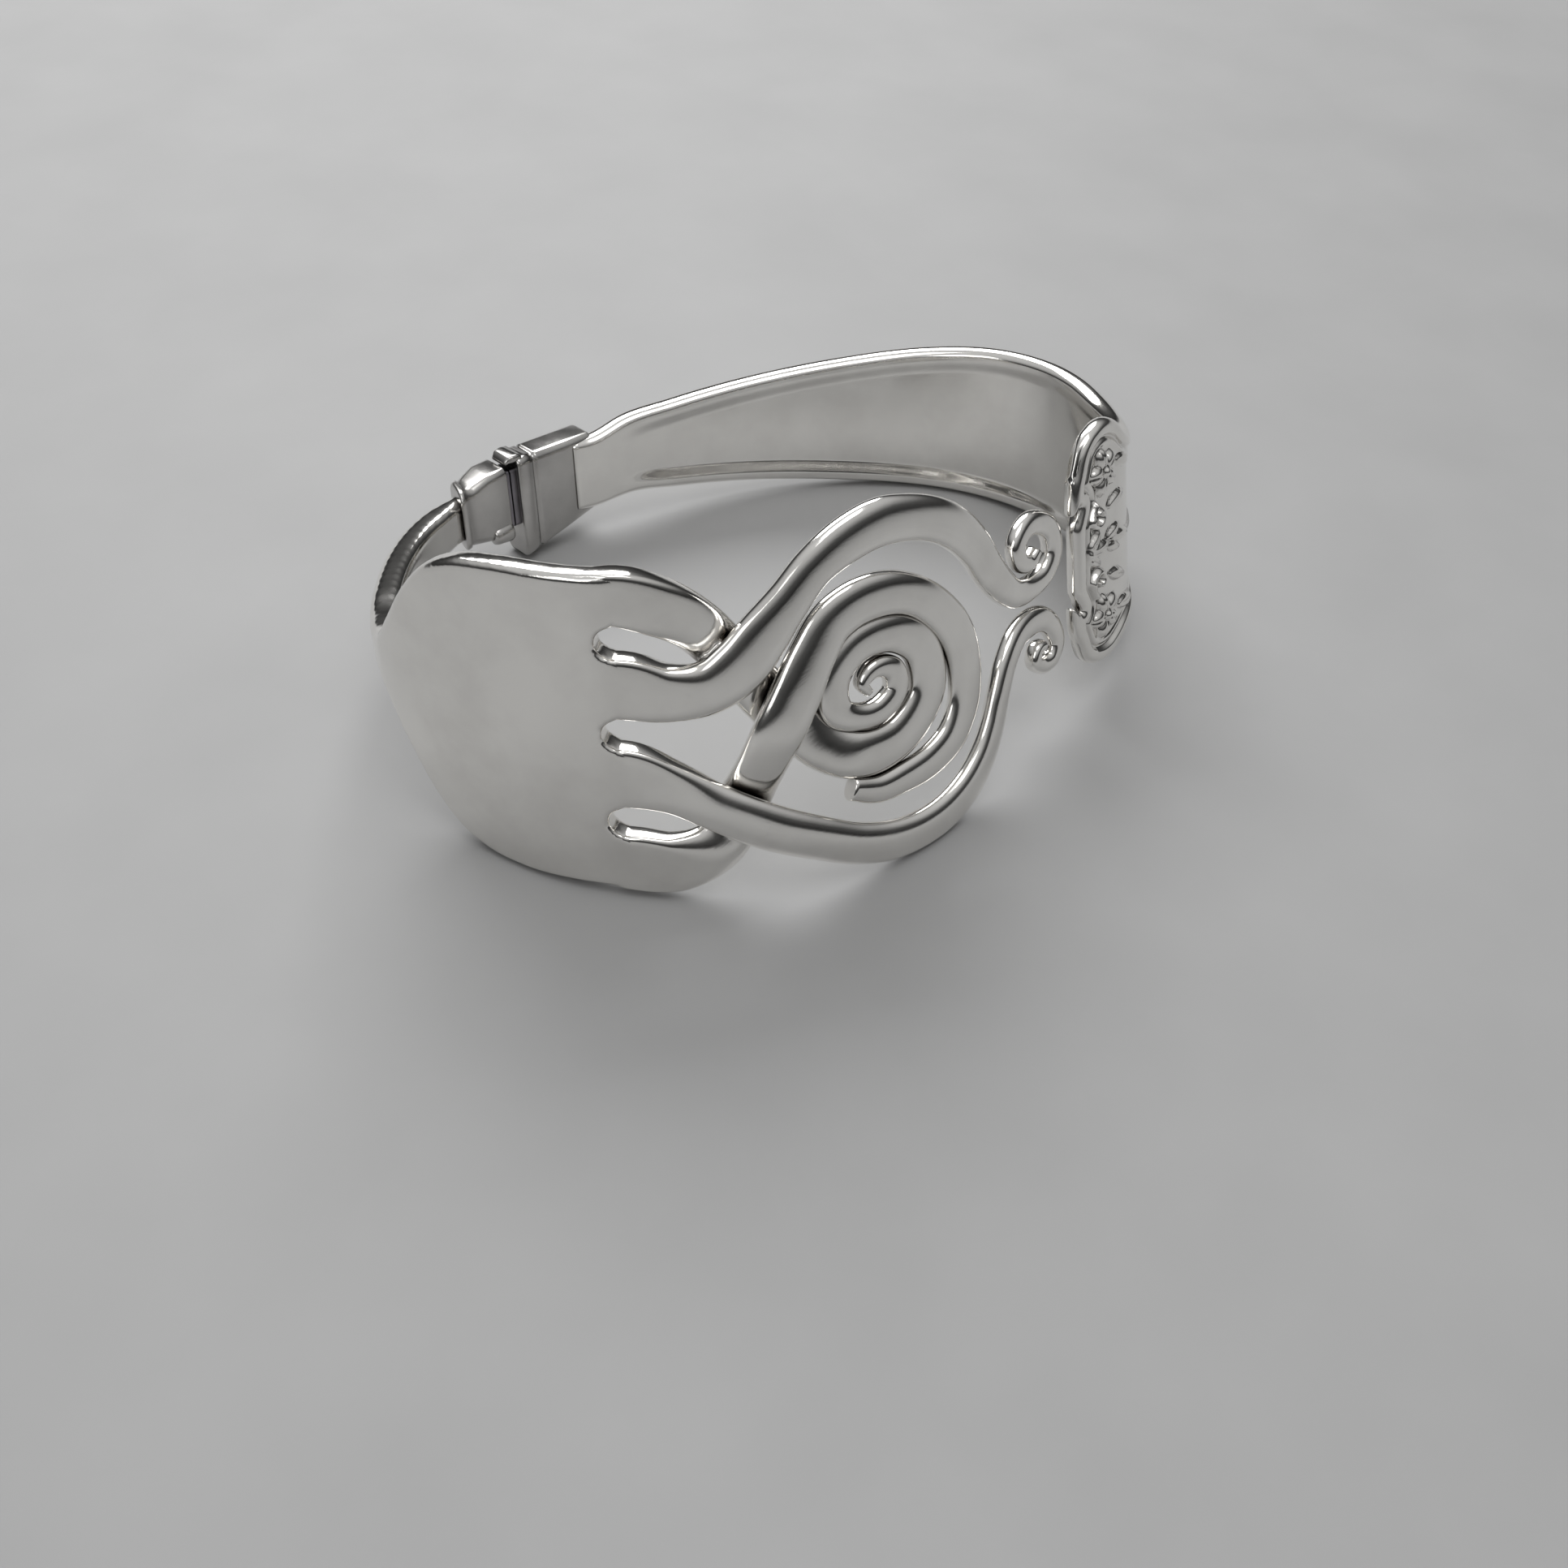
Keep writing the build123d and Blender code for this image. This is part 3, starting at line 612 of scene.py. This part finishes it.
# Fork head's tines. Rows: place along, place across and width in ring radii, and level in layers
INNER_TINE = [
    (-2.35, 1.14, 0.36, 0), (-2.03, 1.13, 0.4, 0), (-1.76, 1.01, 0.4, -0.06),
    (-1.52, 0.82, 0.39, -0.32), (-1.33, 0.59, 0.39, -0.62), (-1.14, 0.33, 0.4, -0.7),
    (-0.95, 0.08, 0.41, -0.7), (-0.76, -0.15, 0.41, -0.66), (-0.57, -0.36, 0.39, -0.45),
    (-0.35, -0.48, 0.39, -0.2),
]
SECOND_TINE = [
    (-2.35, 0.43, 0.46, 0), (-2.05, 0.43, 0.49, 0), (-1.74, 0.36, 0.42, 0.1), (-1.44, 0.39, 0.42, 0.3),
    (-1.23, 0.52, 0.44, 0.34), (-1.05, 0.71, 0.41, 0.34), (-0.86, 0.91, 0.34, 0.34),
    (-0.64, 1.12, 0.32, 0.32), (-0.4, 1.24, 0.35, 0.3), (-0.1, 1.3, 0.36, 0.3),
    (0.17, 1.26, 0.34, 0.3), (0.44, 1.16, 0.33, 0.3), (0.71, 0.98, 0.33, 0.3), (0.92, 0.75, 0.32, 0.3),
    (1.08, 0.5, 0.31, 0.3), (1.26, 0.29, 0.28, 0.25), (1.46, 0.13, 0.24, 0.16),
    (1.69, 0.07, 0.21, 0.1), (1.91, 0.1, 0.2, 0.08), (2.04, 0.24, 0.2, 0.08), (2.02, 0.42, 0.2, 0.08),
    (1.87, 0.56, 0.2, 0.08), (1.68, 0.6, 0.2, 0.08), (1.53, 0.5, 0.19, 0.09), (1.57, 0.35, 0.17, 0.09),
    (1.7, 0.29, 0.14, 0.08), (1.8, 0.35, 0.1, 0.08),
]
THIRD_TINE = [
    (-2.35, -0.33, 0.48, 0), (-2.05, -0.33, 0.51, 0), (-1.75, -0.43, 0.4, 0.1),
    (-1.43, -0.62, 0.37, 0.3), (-1.09, -0.83, 0.37, 0.34), (-0.73, -1.02, 0.35, 0.34),
    (-0.44, -1.17, 0.34, 0.34), (-0.14, -1.27, 0.34, 0.32), (0.13, -1.3, 0.33, 0.3),
    (0.41, -1.27, 0.33, 0.3), (0.68, -1.16, 0.32, 0.3), (0.89, -0.98, 0.29, 0.3),
    (1.02, -0.78, 0.26, 0.3), (1.12, -0.57, 0.24, 0.3), (1.25, -0.38, 0.24, 0.25),
    (1.42, -0.26, 0.24, 0.17), (1.64, -0.23, 0.24, 0.1), (1.85, -0.28, 0.22, 0.08),
    (2, -0.42, 0.2, 0.08), (2.05, -0.58, 0.18, 0.08), (1.97, -0.69, 0.17, 0.08),
    (1.82, -0.69, 0.15, 0.08), (1.72, -0.6, 0.13, 0.08), (1.76, -0.51, 0.11, 0.08),
    (1.85, -0.51, 0.09, 0.08),
]
OUTER_TINE = [
    (-2.35, -1.085, 0.47, 0), (-2.03, -1.105, 0.52, 0), (-1.75, -1.12, 0.49, -0.05),
    (-1.46, -1.02, 0.43, -0.3), (-1.28, -0.82, 0.41, -0.62), (-1.19, -0.6, 0.4, -0.55),
    (-1.1, -0.36, 0.38, -0.1), (-0.99, -0.09, 0.4, 0.3), (-0.84, 0.19, 0.4, 0.32),
    (-0.68, 0.47, 0.38, 0.22), (-0.52, 0.66, 0.37, 0.12), (-0.33, 0.74, 0.36, 0.06),
    (-0.07, 0.745, 0.34, 0.02), (0.19, 0.66, 0.31, 0), (0.52, 0.39, 0.32, 0), (0.72, 0.07, 0.35, 0),
    (0.77, -0.21, 0.36, 0), (0.73, -0.48, 0.36, 0), (0.57, -0.69, 0.34, 0), (0.32, -0.79, 0.3, 0),
    (0.03, -0.815, 0.26, 0), (-0.2, -0.815, 0.23, 0), (-0.43, -0.73, 0.18, 0),
]

# The inner tine's spiral, from its outer end. Rows: radius, width and level
SPIRAL = [
    (0.55, 0.39, -0.04), (0.57, 0.38, 0), (0.49, 0.34, 0), (0.41, 0.31, 0), (0.39, 0.3, 0),
    (0.37, 0.26, 0), (0.34, 0.25, 0), (0.24, 0.21, 0), (0.21, 0.22, 0), (0.22, 0.22, 0),
    (0.19, 0.2, 0), (0.15, 0.17, 0), (0.13, 0.14, 0), (0.12, 0.11, 0), (0.07, 0.08, 0),
]
SPIRAL_MIDDLE = (-0.15, 0.03)
SPIRAL_START, SPIRAL_STEP = -70, 45
SPIRAL_SUNK = 0.22
LAYER = 1.85

# Tine's section, in millimetres: it starts thin inside the palm, thins again towards its end, and
# turns from nearly square to domed
TINE_THICK = 1.86
TINE_THINNING = 0.50
TINE_START_THICK, TINE_START_RUN = 0.8, 2.6
SQUARE_POWER, SQUARE_LOSS = 7.0, 4.5
SQUARE_END, SQUARE_FADE = 2.5, 7.0
TINE_STEPS = 8
TINE_AROUND = 36

# A tine's root, which is blended into the palm: thinning in millimetres, and how much slimmer
# each of its rows is in ring radii
ROOT_THINNING = 0.08
ROOT_SLIM = (0.0, 0.0, 0.005, 0.012, 0.03)

# Palm: place back from the slots' roots in palm lengths, and half width in half fork widths
PALM = [
    (1, 0.21), (0.89, 0.41), (0.78, 0.64), (0.67, 0.82), (0.55, 0.92), (0.4, 0.965), (0.2, 0.975),
    (0, 0.975),
]
PALM_COLUMNS, PALM_CROWDING = 121, 0.8
PALM_ROWS, NECK_ROWS = 110, 70
PALM_THICK, PALM_EDGE = 1.9, 0.55
SLOT_ROOT = -2.085 * RING_RADIUS
SLOTS_ACROSS = (0.59, 0.045, -0.52)
SLOT_HALF, SLOT_RUN = 1.25, 5

# Neck: half height, added thickness and edge at its root, and what it loses inside the plug
PLUG_MOUTH = -65.936
NECK_TONGUE = 1.4
NECK_HALF = 1.95
NECK_SHARES = (0.84, 0.68, 0.5, 0.32, 0.15)
NECK_THICKENING, NECK_EDGE = 0.6, 0.30
NECK_END_LOSS, NECK_END_RUN = 0.5, 3.5

# Remeshing that blends the palm and the roots
VOXEL = 0.20 * MM
SMOOTHING, SMOOTHING_ROUNDS = 0.5, 8


def tine_shell(rows, root=False):
    """Closed skin of one tine: squarish where it leaves the palm, domed further on."""
    rows = np.array(rows, float)
    spots = rows[:, :2] * RING_RADIUS
    chord = np.concatenate([[0], np.cumsum(np.linalg.norm(np.diff(spots, axis=0), axis=1))])
    steps = [np.linspace(a, b, TINE_STEPS + 1)[:-1] for a, b in zip(chord[:-1], chord[1:])]
    fine = np.concatenate(steps + [chord[-1:]])
    along = smooth_curve(chord, spots[:, 0], fine)
    across = smooth_curve(chord, spots[:, 1], fine)
    width = smooth_curve(chord, rows[:, 2] * RING_RADIUS, fine)
    level = smooth_curve(chord, rows[:, 3] * LAYER, fine)
    heading = np.stack([np.gradient(along, fine), np.gradient(across, fine)], 1)
    heading /= np.linalg.norm(heading, axis=1)[:, None]
    share = fine / chord[-1]
    thick = TINE_THICK - (ROOT_THINNING * eased(share) if root else TINE_THINNING * share)
    thick = TINE_START_THICK + (thick - TINE_START_THICK) * eased(fine / TINE_START_RUN)
    power = 2.0 / (SQUARE_POWER - SQUARE_LOSS * eased((fine - SQUARE_END) / SQUARE_FADE))
    turn = np.linspace(0, 2 * math.pi, TINE_AROUND, endpoint=False)
    c, d = np.cos(turn)[None, :], np.sin(turn)[None, :]
    v = width[:, None] / 2 * np.sign(c) * np.abs(c) ** power[:, None]
    out = level[:, None] + thick[:, None] / 2 * np.sign(d) * np.abs(d) ** power[:, None]
    points = wall(along[:, None] - v * heading[:, 1:2], across[:, None] + v * heading[:, 0:1], out)
    return points.reshape(-1, 3), tube_faces(len(fine), TINE_AROUND)


def tine_root(rows):
    """Closed skin of a tine's first rows, slimmer towards its end so that it stays inside the tine."""
    slimmer = [(along, across, width - slim, level)
               for (along, across, width, level), slim in zip(rows, ROOT_SLIM)]
    return tine_shell(slimmer, root=True)


def spiral_rows():
    """The inner spiral as rows of a tine."""
    rows = []
    for number, (radius, width, level) in enumerate(SPIRAL):
        a = math.radians(SPIRAL_START + SPIRAL_STEP * number)
        rows.append((SPIRAL_MIDDLE[0] + radius * math.cos(a), SPIRAL_MIDDLE[1] + radius * math.sin(a),
                     width, level - SPIRAL_SUNK))
    return rows


def block_faces(count, columns):
    """Faces of a closed block between two sheets, with walls on all four sides."""
    base = count * columns
    rows = [[i * columns + j for j in range(columns)] for i in range(count)]

    def side_wall(line, flip):
        faces = [[a, base + a, base + b, b] for a, b in zip(line[:-1], line[1:])]
        return [face[::-1] for face in faces] if flip else faces

    faces = []
    for row, ahead in zip(rows[:-1], rows[1:]):
        for a, b, c, d in zip(row[:-1], row[1:], ahead[:-1], ahead[1:]):
            faces += [[a, c, d, b], [base + a, base + b, base + d, base + c]]
    for line, flip in (([row[0] for row in rows], False), ([row[-1] for row in rows], True),
                       (rows[0], True), (rows[-1], False)):
        faces += side_wall(line, flip)
    return faces


def palm_shell():
    """Closed skin of the neck and the palm, with the round roots of the slots in its end."""
    neck_root = SLOT_ROOT - PALM_LENGTH
    neck = neck_root - PLUG_MOUTH
    places = [PLUG_MOUTH - NECK_TONGUE, PLUG_MOUTH]
    places += [neck_root - neck * share for share in NECK_SHARES]
    halves = [NECK_HALF] * len(places)
    places += [SLOT_ROOT - back * PALM_LENGTH for back, _ in PALM]
    halves += [half * FORK_WIDTH / 2 for _, half in PALM]
    along = np.concatenate([np.linspace(places[0], neck_root, NECK_ROWS)[:-1],
                            np.linspace(neck_root, SLOT_ROOT, PALM_ROWS)])
    half = smooth_curve(places, halves, along)
    lift = -CLASP_DROP * np.clip((neck_root - along) / neck, 0, 1)
    share = crowded(PALM_COLUMNS, PALM_CROWDING)
    side = share[None, :] * half[:, None]
    cut = np.zeros(PALM_COLUMNS)
    for middle in SLOTS_ACROSS:
        away = share * half[-1] - middle * FORK_WIDTH / 2
        cut = np.maximum(cut, np.sqrt(np.clip(SLOT_HALF ** 2 - away ** 2, 0, None)))
    reach = along[:, None] - cut[None, :] * eased((along - SLOT_ROOT + SLOT_RUN) / SLOT_RUN)[:, None]
    back_share = np.clip((SLOT_ROOT - along) / PALM_LENGTH, 0, 1)
    end_loss = NECK_END_LOSS * eased((PLUG_MOUTH + NECK_END_RUN - along) / NECK_END_RUN)
    thick = PALM_THICK + NECK_THICKENING * back_share ** 3 - end_loss
    edge = PALM_EDGE + NECK_EDGE * back_share ** 3
    distance = np.clip(half[:, None] - np.abs(side), 0, None)
    level = thick[:, None] / 2 - edge_fall(distance, edge[:, None])
    sheets = [wall(reach, side + lift[:, None], out).reshape(-1, 3) for out in (level, -level)]
    return np.vstack(sheets), block_faces(len(along), PALM_COLUMNS)


def blended(skins):
    """Mesh of overlapping skins melted into one, with the soft edges of worn silver."""
    rough = mesh_piece("fork_rough", *joined(skins), silver)
    remesh = rough.modifiers.new("remesh", "REMESH")
    remesh.mode = "VOXEL"
    remesh.voxel_size = VOXEL
    soft = rough.modifiers.new("soft", "SMOOTH")
    soft.factor = SMOOTHING
    soft.iterations = SMOOTHING_ROUNDS
    bpy.context.view_layer.update()
    mesh = bpy.data.meshes.new_from_object(rough.evaluated_get(bpy.context.evaluated_depsgraph_get()))
    bpy.data.objects.remove(rough)
    return mesh


def build_fork():
    """The palm with its blended tine roots, and the crisp tines that wind over each other."""
    tines = [INNER_TINE + spiral_rows(), SECOND_TINE, THIRD_TINE, OUTER_TINE]
    palm = blended([palm_shell()] + [tine_root(rows) for rows in tines])
    wound = mesh_piece("fork_wound", *joined([tine_shell(rows) for rows in tines]), silver)
    both = bmesh.new()
    both.from_mesh(palm)
    both.from_mesh(wound.data)
    mesh = bpy.data.meshes.new("silver_fork")
    both.to_mesh(mesh)
    both.free()
    bpy.data.objects.remove(wound)
    piece = finished("silver_fork", mesh, silver)
    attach(piece, "root")
    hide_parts("fork_head")


# Clasp, in its own straight frame, in millimetres: ahead along its axis towards the neck, up, and
# out from the wrist. Sections: ahead, top, bottom, inner, outer, corner radius and turn in degrees
CLASP_ALONG = 103.798
HEADING_STEP = 0.05
SOCKET = [
    (-8.70, 3.0, -4.6, -1.6, 1.6, 0.75, 0), (-5.5, 3.0, -5.45, -1.6, 1.6, 0.75, 0),
    (-2.70, 3.0, -6.23, -1.6, 1.6, 0.75, 0), (-2.55, 3.0, -6.27, -1.6, 1.6, 0.75, 0),
    (-2.45, 2.86, -6.16, -1.46, 1.46, 0.65, 0), (-2.15, 2.86, -6.23, -1.46, 1.46, 0.65, 0),
    (-2.05, 3.0, -6.41, -1.6, 1.6, 0.75, 0), (-0.60, 3.0, -6.80, -1.6, 1.6, 0.75, 0),
]
LIP = [
    (-1.3, 3.28, 2.62, -1.25, 1.25, 0.30, 0), (-0.5, 3.34, 2.60, -1.25, 1.25, 0.30, 0),
    (0.1, 3.22, 2.62, -1.15, 1.15, 0.28, 0), (0.45, 2.95, 2.48, -1.0, 1.0, 0.22, 0),
]
PLUG = [
    (0.60, 2.60, -3.95, -1.65, 1.65, 0.70, 0), (2.6, 2.50, -3.85, -1.80, 1.60, 0.75, -5),
    (4.0, 2.15, -3.60, -1.98, 1.30, 0.95, -10), (4.75, 1.98, -3.45, -2.08, 1.08, 1.05, -14),
    (4.85, 2.14, -3.60, -2.23, 1.23, 1.10, -15), (5.45, 2.12, -3.57, -2.38, 1.08, 1.05, -16),
]
BEAD = [
    (0.62, -2.55, -4.40, -2.05, -0.35, 0.80, 0), (2.75, -2.60, -4.25, -2.15, -0.55, 0.80, 0),
]
CORNER_STEPS = 8
SOCKET_SOFT, LIP_SOFT, PLUG_SOFT, BEAD_SOFT = 0.30, 0.12, 0.22, 0.35
SOFT_STEP, SOFT_SHARE = 0.09, 0.29
LEAST_RADIUS = 0.15


def clasp_points(ahead, up, out):
    """Points of the clasp's own frame in the loop's frame."""
    middle = wall(CLASP_ALONG, 0.0, 0.0)
    forward = wall(CLASP_ALONG + HEADING_STEP, 0.0, 0.0) - wall(CLASP_ALONG - HEADING_STEP, 0.0, 0.0)
    forward /= np.linalg.norm(forward)
    outward = wall(CLASP_ALONG, 0.0, 1.0) - middle
    ahead, up, out = (np.asarray(value, float)[..., None] for value in (ahead, up, out))
    return middle + forward * ahead + outward * out + np.array([0, 0, 1.0]) * up


def section_ring(ahead, top, bottom, inner, outer, radius, turn):
    """Ring of points round one section with rounded corners, turned about its upright middle."""
    ring = []
    corners = ((top, outer, 0), (bottom, outer, 90), (bottom, inner, 180), (top, inner, 270))
    for up, out, start in corners:
        high = 1 if up == top else -1
        far = 1 if out == outer else -1
        for k in range(CORNER_STEPS + 1):
            a = math.radians(start + 90 * k / CORNER_STEPS)
            ring.append((ahead, up - high * radius + radius * math.cos(a),
                         out - far * radius + radius * math.sin(a)))
    ring = np.array(ring)
    ring[:, 0] += (ring[:, 2] - (inner + outer) / 2) * math.tan(math.radians(turn))
    return ring


def softened(sections, lead):
    """The same sections with both ends drawn in a little, so that the end faces have soft edges."""
    first, last = sections[0], sections[-1]

    def drawn(section, ahead, inset):
        where, top, bottom, inner, outer, radius, turn = section
        return (where + ahead, top - inset, bottom + inset, inner + inset, outer - inset,
                max(radius - inset, LEAST_RADIUS), turn)

    start = [drawn(first, 0, lead), drawn(first, SOFT_STEP, lead * SOFT_SHARE), drawn(first, lead, 0)]
    end = [drawn(last, -lead, 0), drawn(last, -SOFT_STEP, lead * SOFT_SHARE), drawn(last, 0, lead)]
    return start + sections[1:-1] + end


def sleeve_shell(sections, lead):
    """Closed skin through the sections of a sleeve."""
    rings = np.array([section_ring(*section) for section in softened(sections, lead)])
    points = clasp_points(rings[..., 0], rings[..., 1], rings[..., 2])
    return points.reshape(-1, 3), tube_faces(*rings.shape[:2])


def clasp_piece(name, skins, node):
    piece = mesh_piece(name, *joined(skins), clasp_metal)
    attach(piece, "root")
    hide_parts(node)


def build_clasp():
    """The socket with its lip, and the plug with its collar and the bead under it."""
    clasp_piece("socket_shell", [sleeve_shell(SOCKET, SOCKET_SOFT), sleeve_shell(LIP, LIP_SOFT)],
                "clasp_socket")
    clasp_piece("plug_shell", [sleeve_shell(PLUG, PLUG_SOFT), sleeve_shell(BEAD, BEAD_SOFT)],
                "clasp_plug")


def dress(name, material):
    """Give a CAD node one of this script's materials."""
    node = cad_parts[name]
    node.data.materials.clear()
    node.data.materials.append(material)
    for polygon in node.data.polygons:
        polygon.material_index = 0


# Studio: sizes and places in metres, and lamp powers in watts
FLOOR_HALF = 1.2
FLOOR_ROUGHNESS = 0.6
FLOOR_TONES = [(0.3, 0.375), (0.7, 0.40)]
SKY_TONES = [(0.0, 0.25), (0.06, 0.03), (0.30, 0.12), (0.62, 0.70), (1.0, 1.0)]
SKY_STRENGTH = 0.60
LAMP_AIM = (0, 0, 0.01)
# Rows: name, place, width, height and power
LAMPS = [
    ("window", (0.12, 0.42, 0.40), 0.50, 0.30, 2.6),
    ("fill", (-0.45, -0.25, 0.35), 0.30, 0.30, 0.40),
    ("top", (0.0, -0.1, 0.6), 0.35, 0.35, 0.65),
]


def greys(tones):
    return [(at, (tone, tone, tone)) for at, tone in tones]


def build_floor():
    material, nodes, links, shader = new_material("floor")
    place = nodes.new("ShaderNodeTexCoord").outputs["Object"]
    grain = noise(nodes, links, place, **FLOOR_GRAIN)
    links.new(ramp(nodes, links, grain, greys(FLOOR_TONES)), shader.inputs["Base Color"])
    shader.inputs["Roughness"].default_value = FLOOR_ROUGHNESS
    corners = [(x * FLOOR_HALF, y * FLOOR_HALF, 0) for x, y in ((-1, -1), (1, -1), (1, 1), (-1, 1))]
    floor = mesh_piece("floor", corners, [(0, 1, 2, 3)], material)


def build_sky():
    """Grey surroundings that grow brighter overhead, for the metal to reflect."""
    world = bpy.data.worlds.new("world")
    bpy.context.scene.world = world
    world.use_nodes = True
    nodes, links = world.node_tree.nodes, world.node_tree.links
    split = nodes.new("ShaderNodeSeparateXYZ")
    links.new(nodes.new("ShaderNodeTexCoord").outputs["Generated"], split.inputs[0])
    background = nodes["Background"]
    links.new(ramp(nodes, links, split.outputs["Z"], greys(SKY_TONES)), background.inputs["Color"])
    background.inputs["Strength"].default_value = SKY_STRENGTH


def build_lamps():
    for name, at, width, height, power in LAMPS:
        data = bpy.data.lights.new(name, "AREA")
        data.shape = "RECTANGLE"
        data.size, data.size_y, data.energy = width, height, power
        light = bpy.data.objects.new(name, data)
        bpy.context.scene.collection.objects.link(light)
        light.location = at
        light.rotation_euler = (Vector(at) - Vector(LAMP_AIM)).to_track_quat("Z", "Y").to_euler()


place_camera()
build_handle()
build_fork()
build_clasp()
for name, material in (
        ("fork_head", silver), ("spoon_handle", silver), ("clasp_socket", clasp_metal),
        ("clasp_plug", clasp_metal), ("socket_magnet", magnet_metal), ("plug_magnet", magnet_metal)):
    dress(name, material)
build_floor()
build_sky()
build_lamps()
bpy.context.scene.view_settings.view_transform = "Standard"
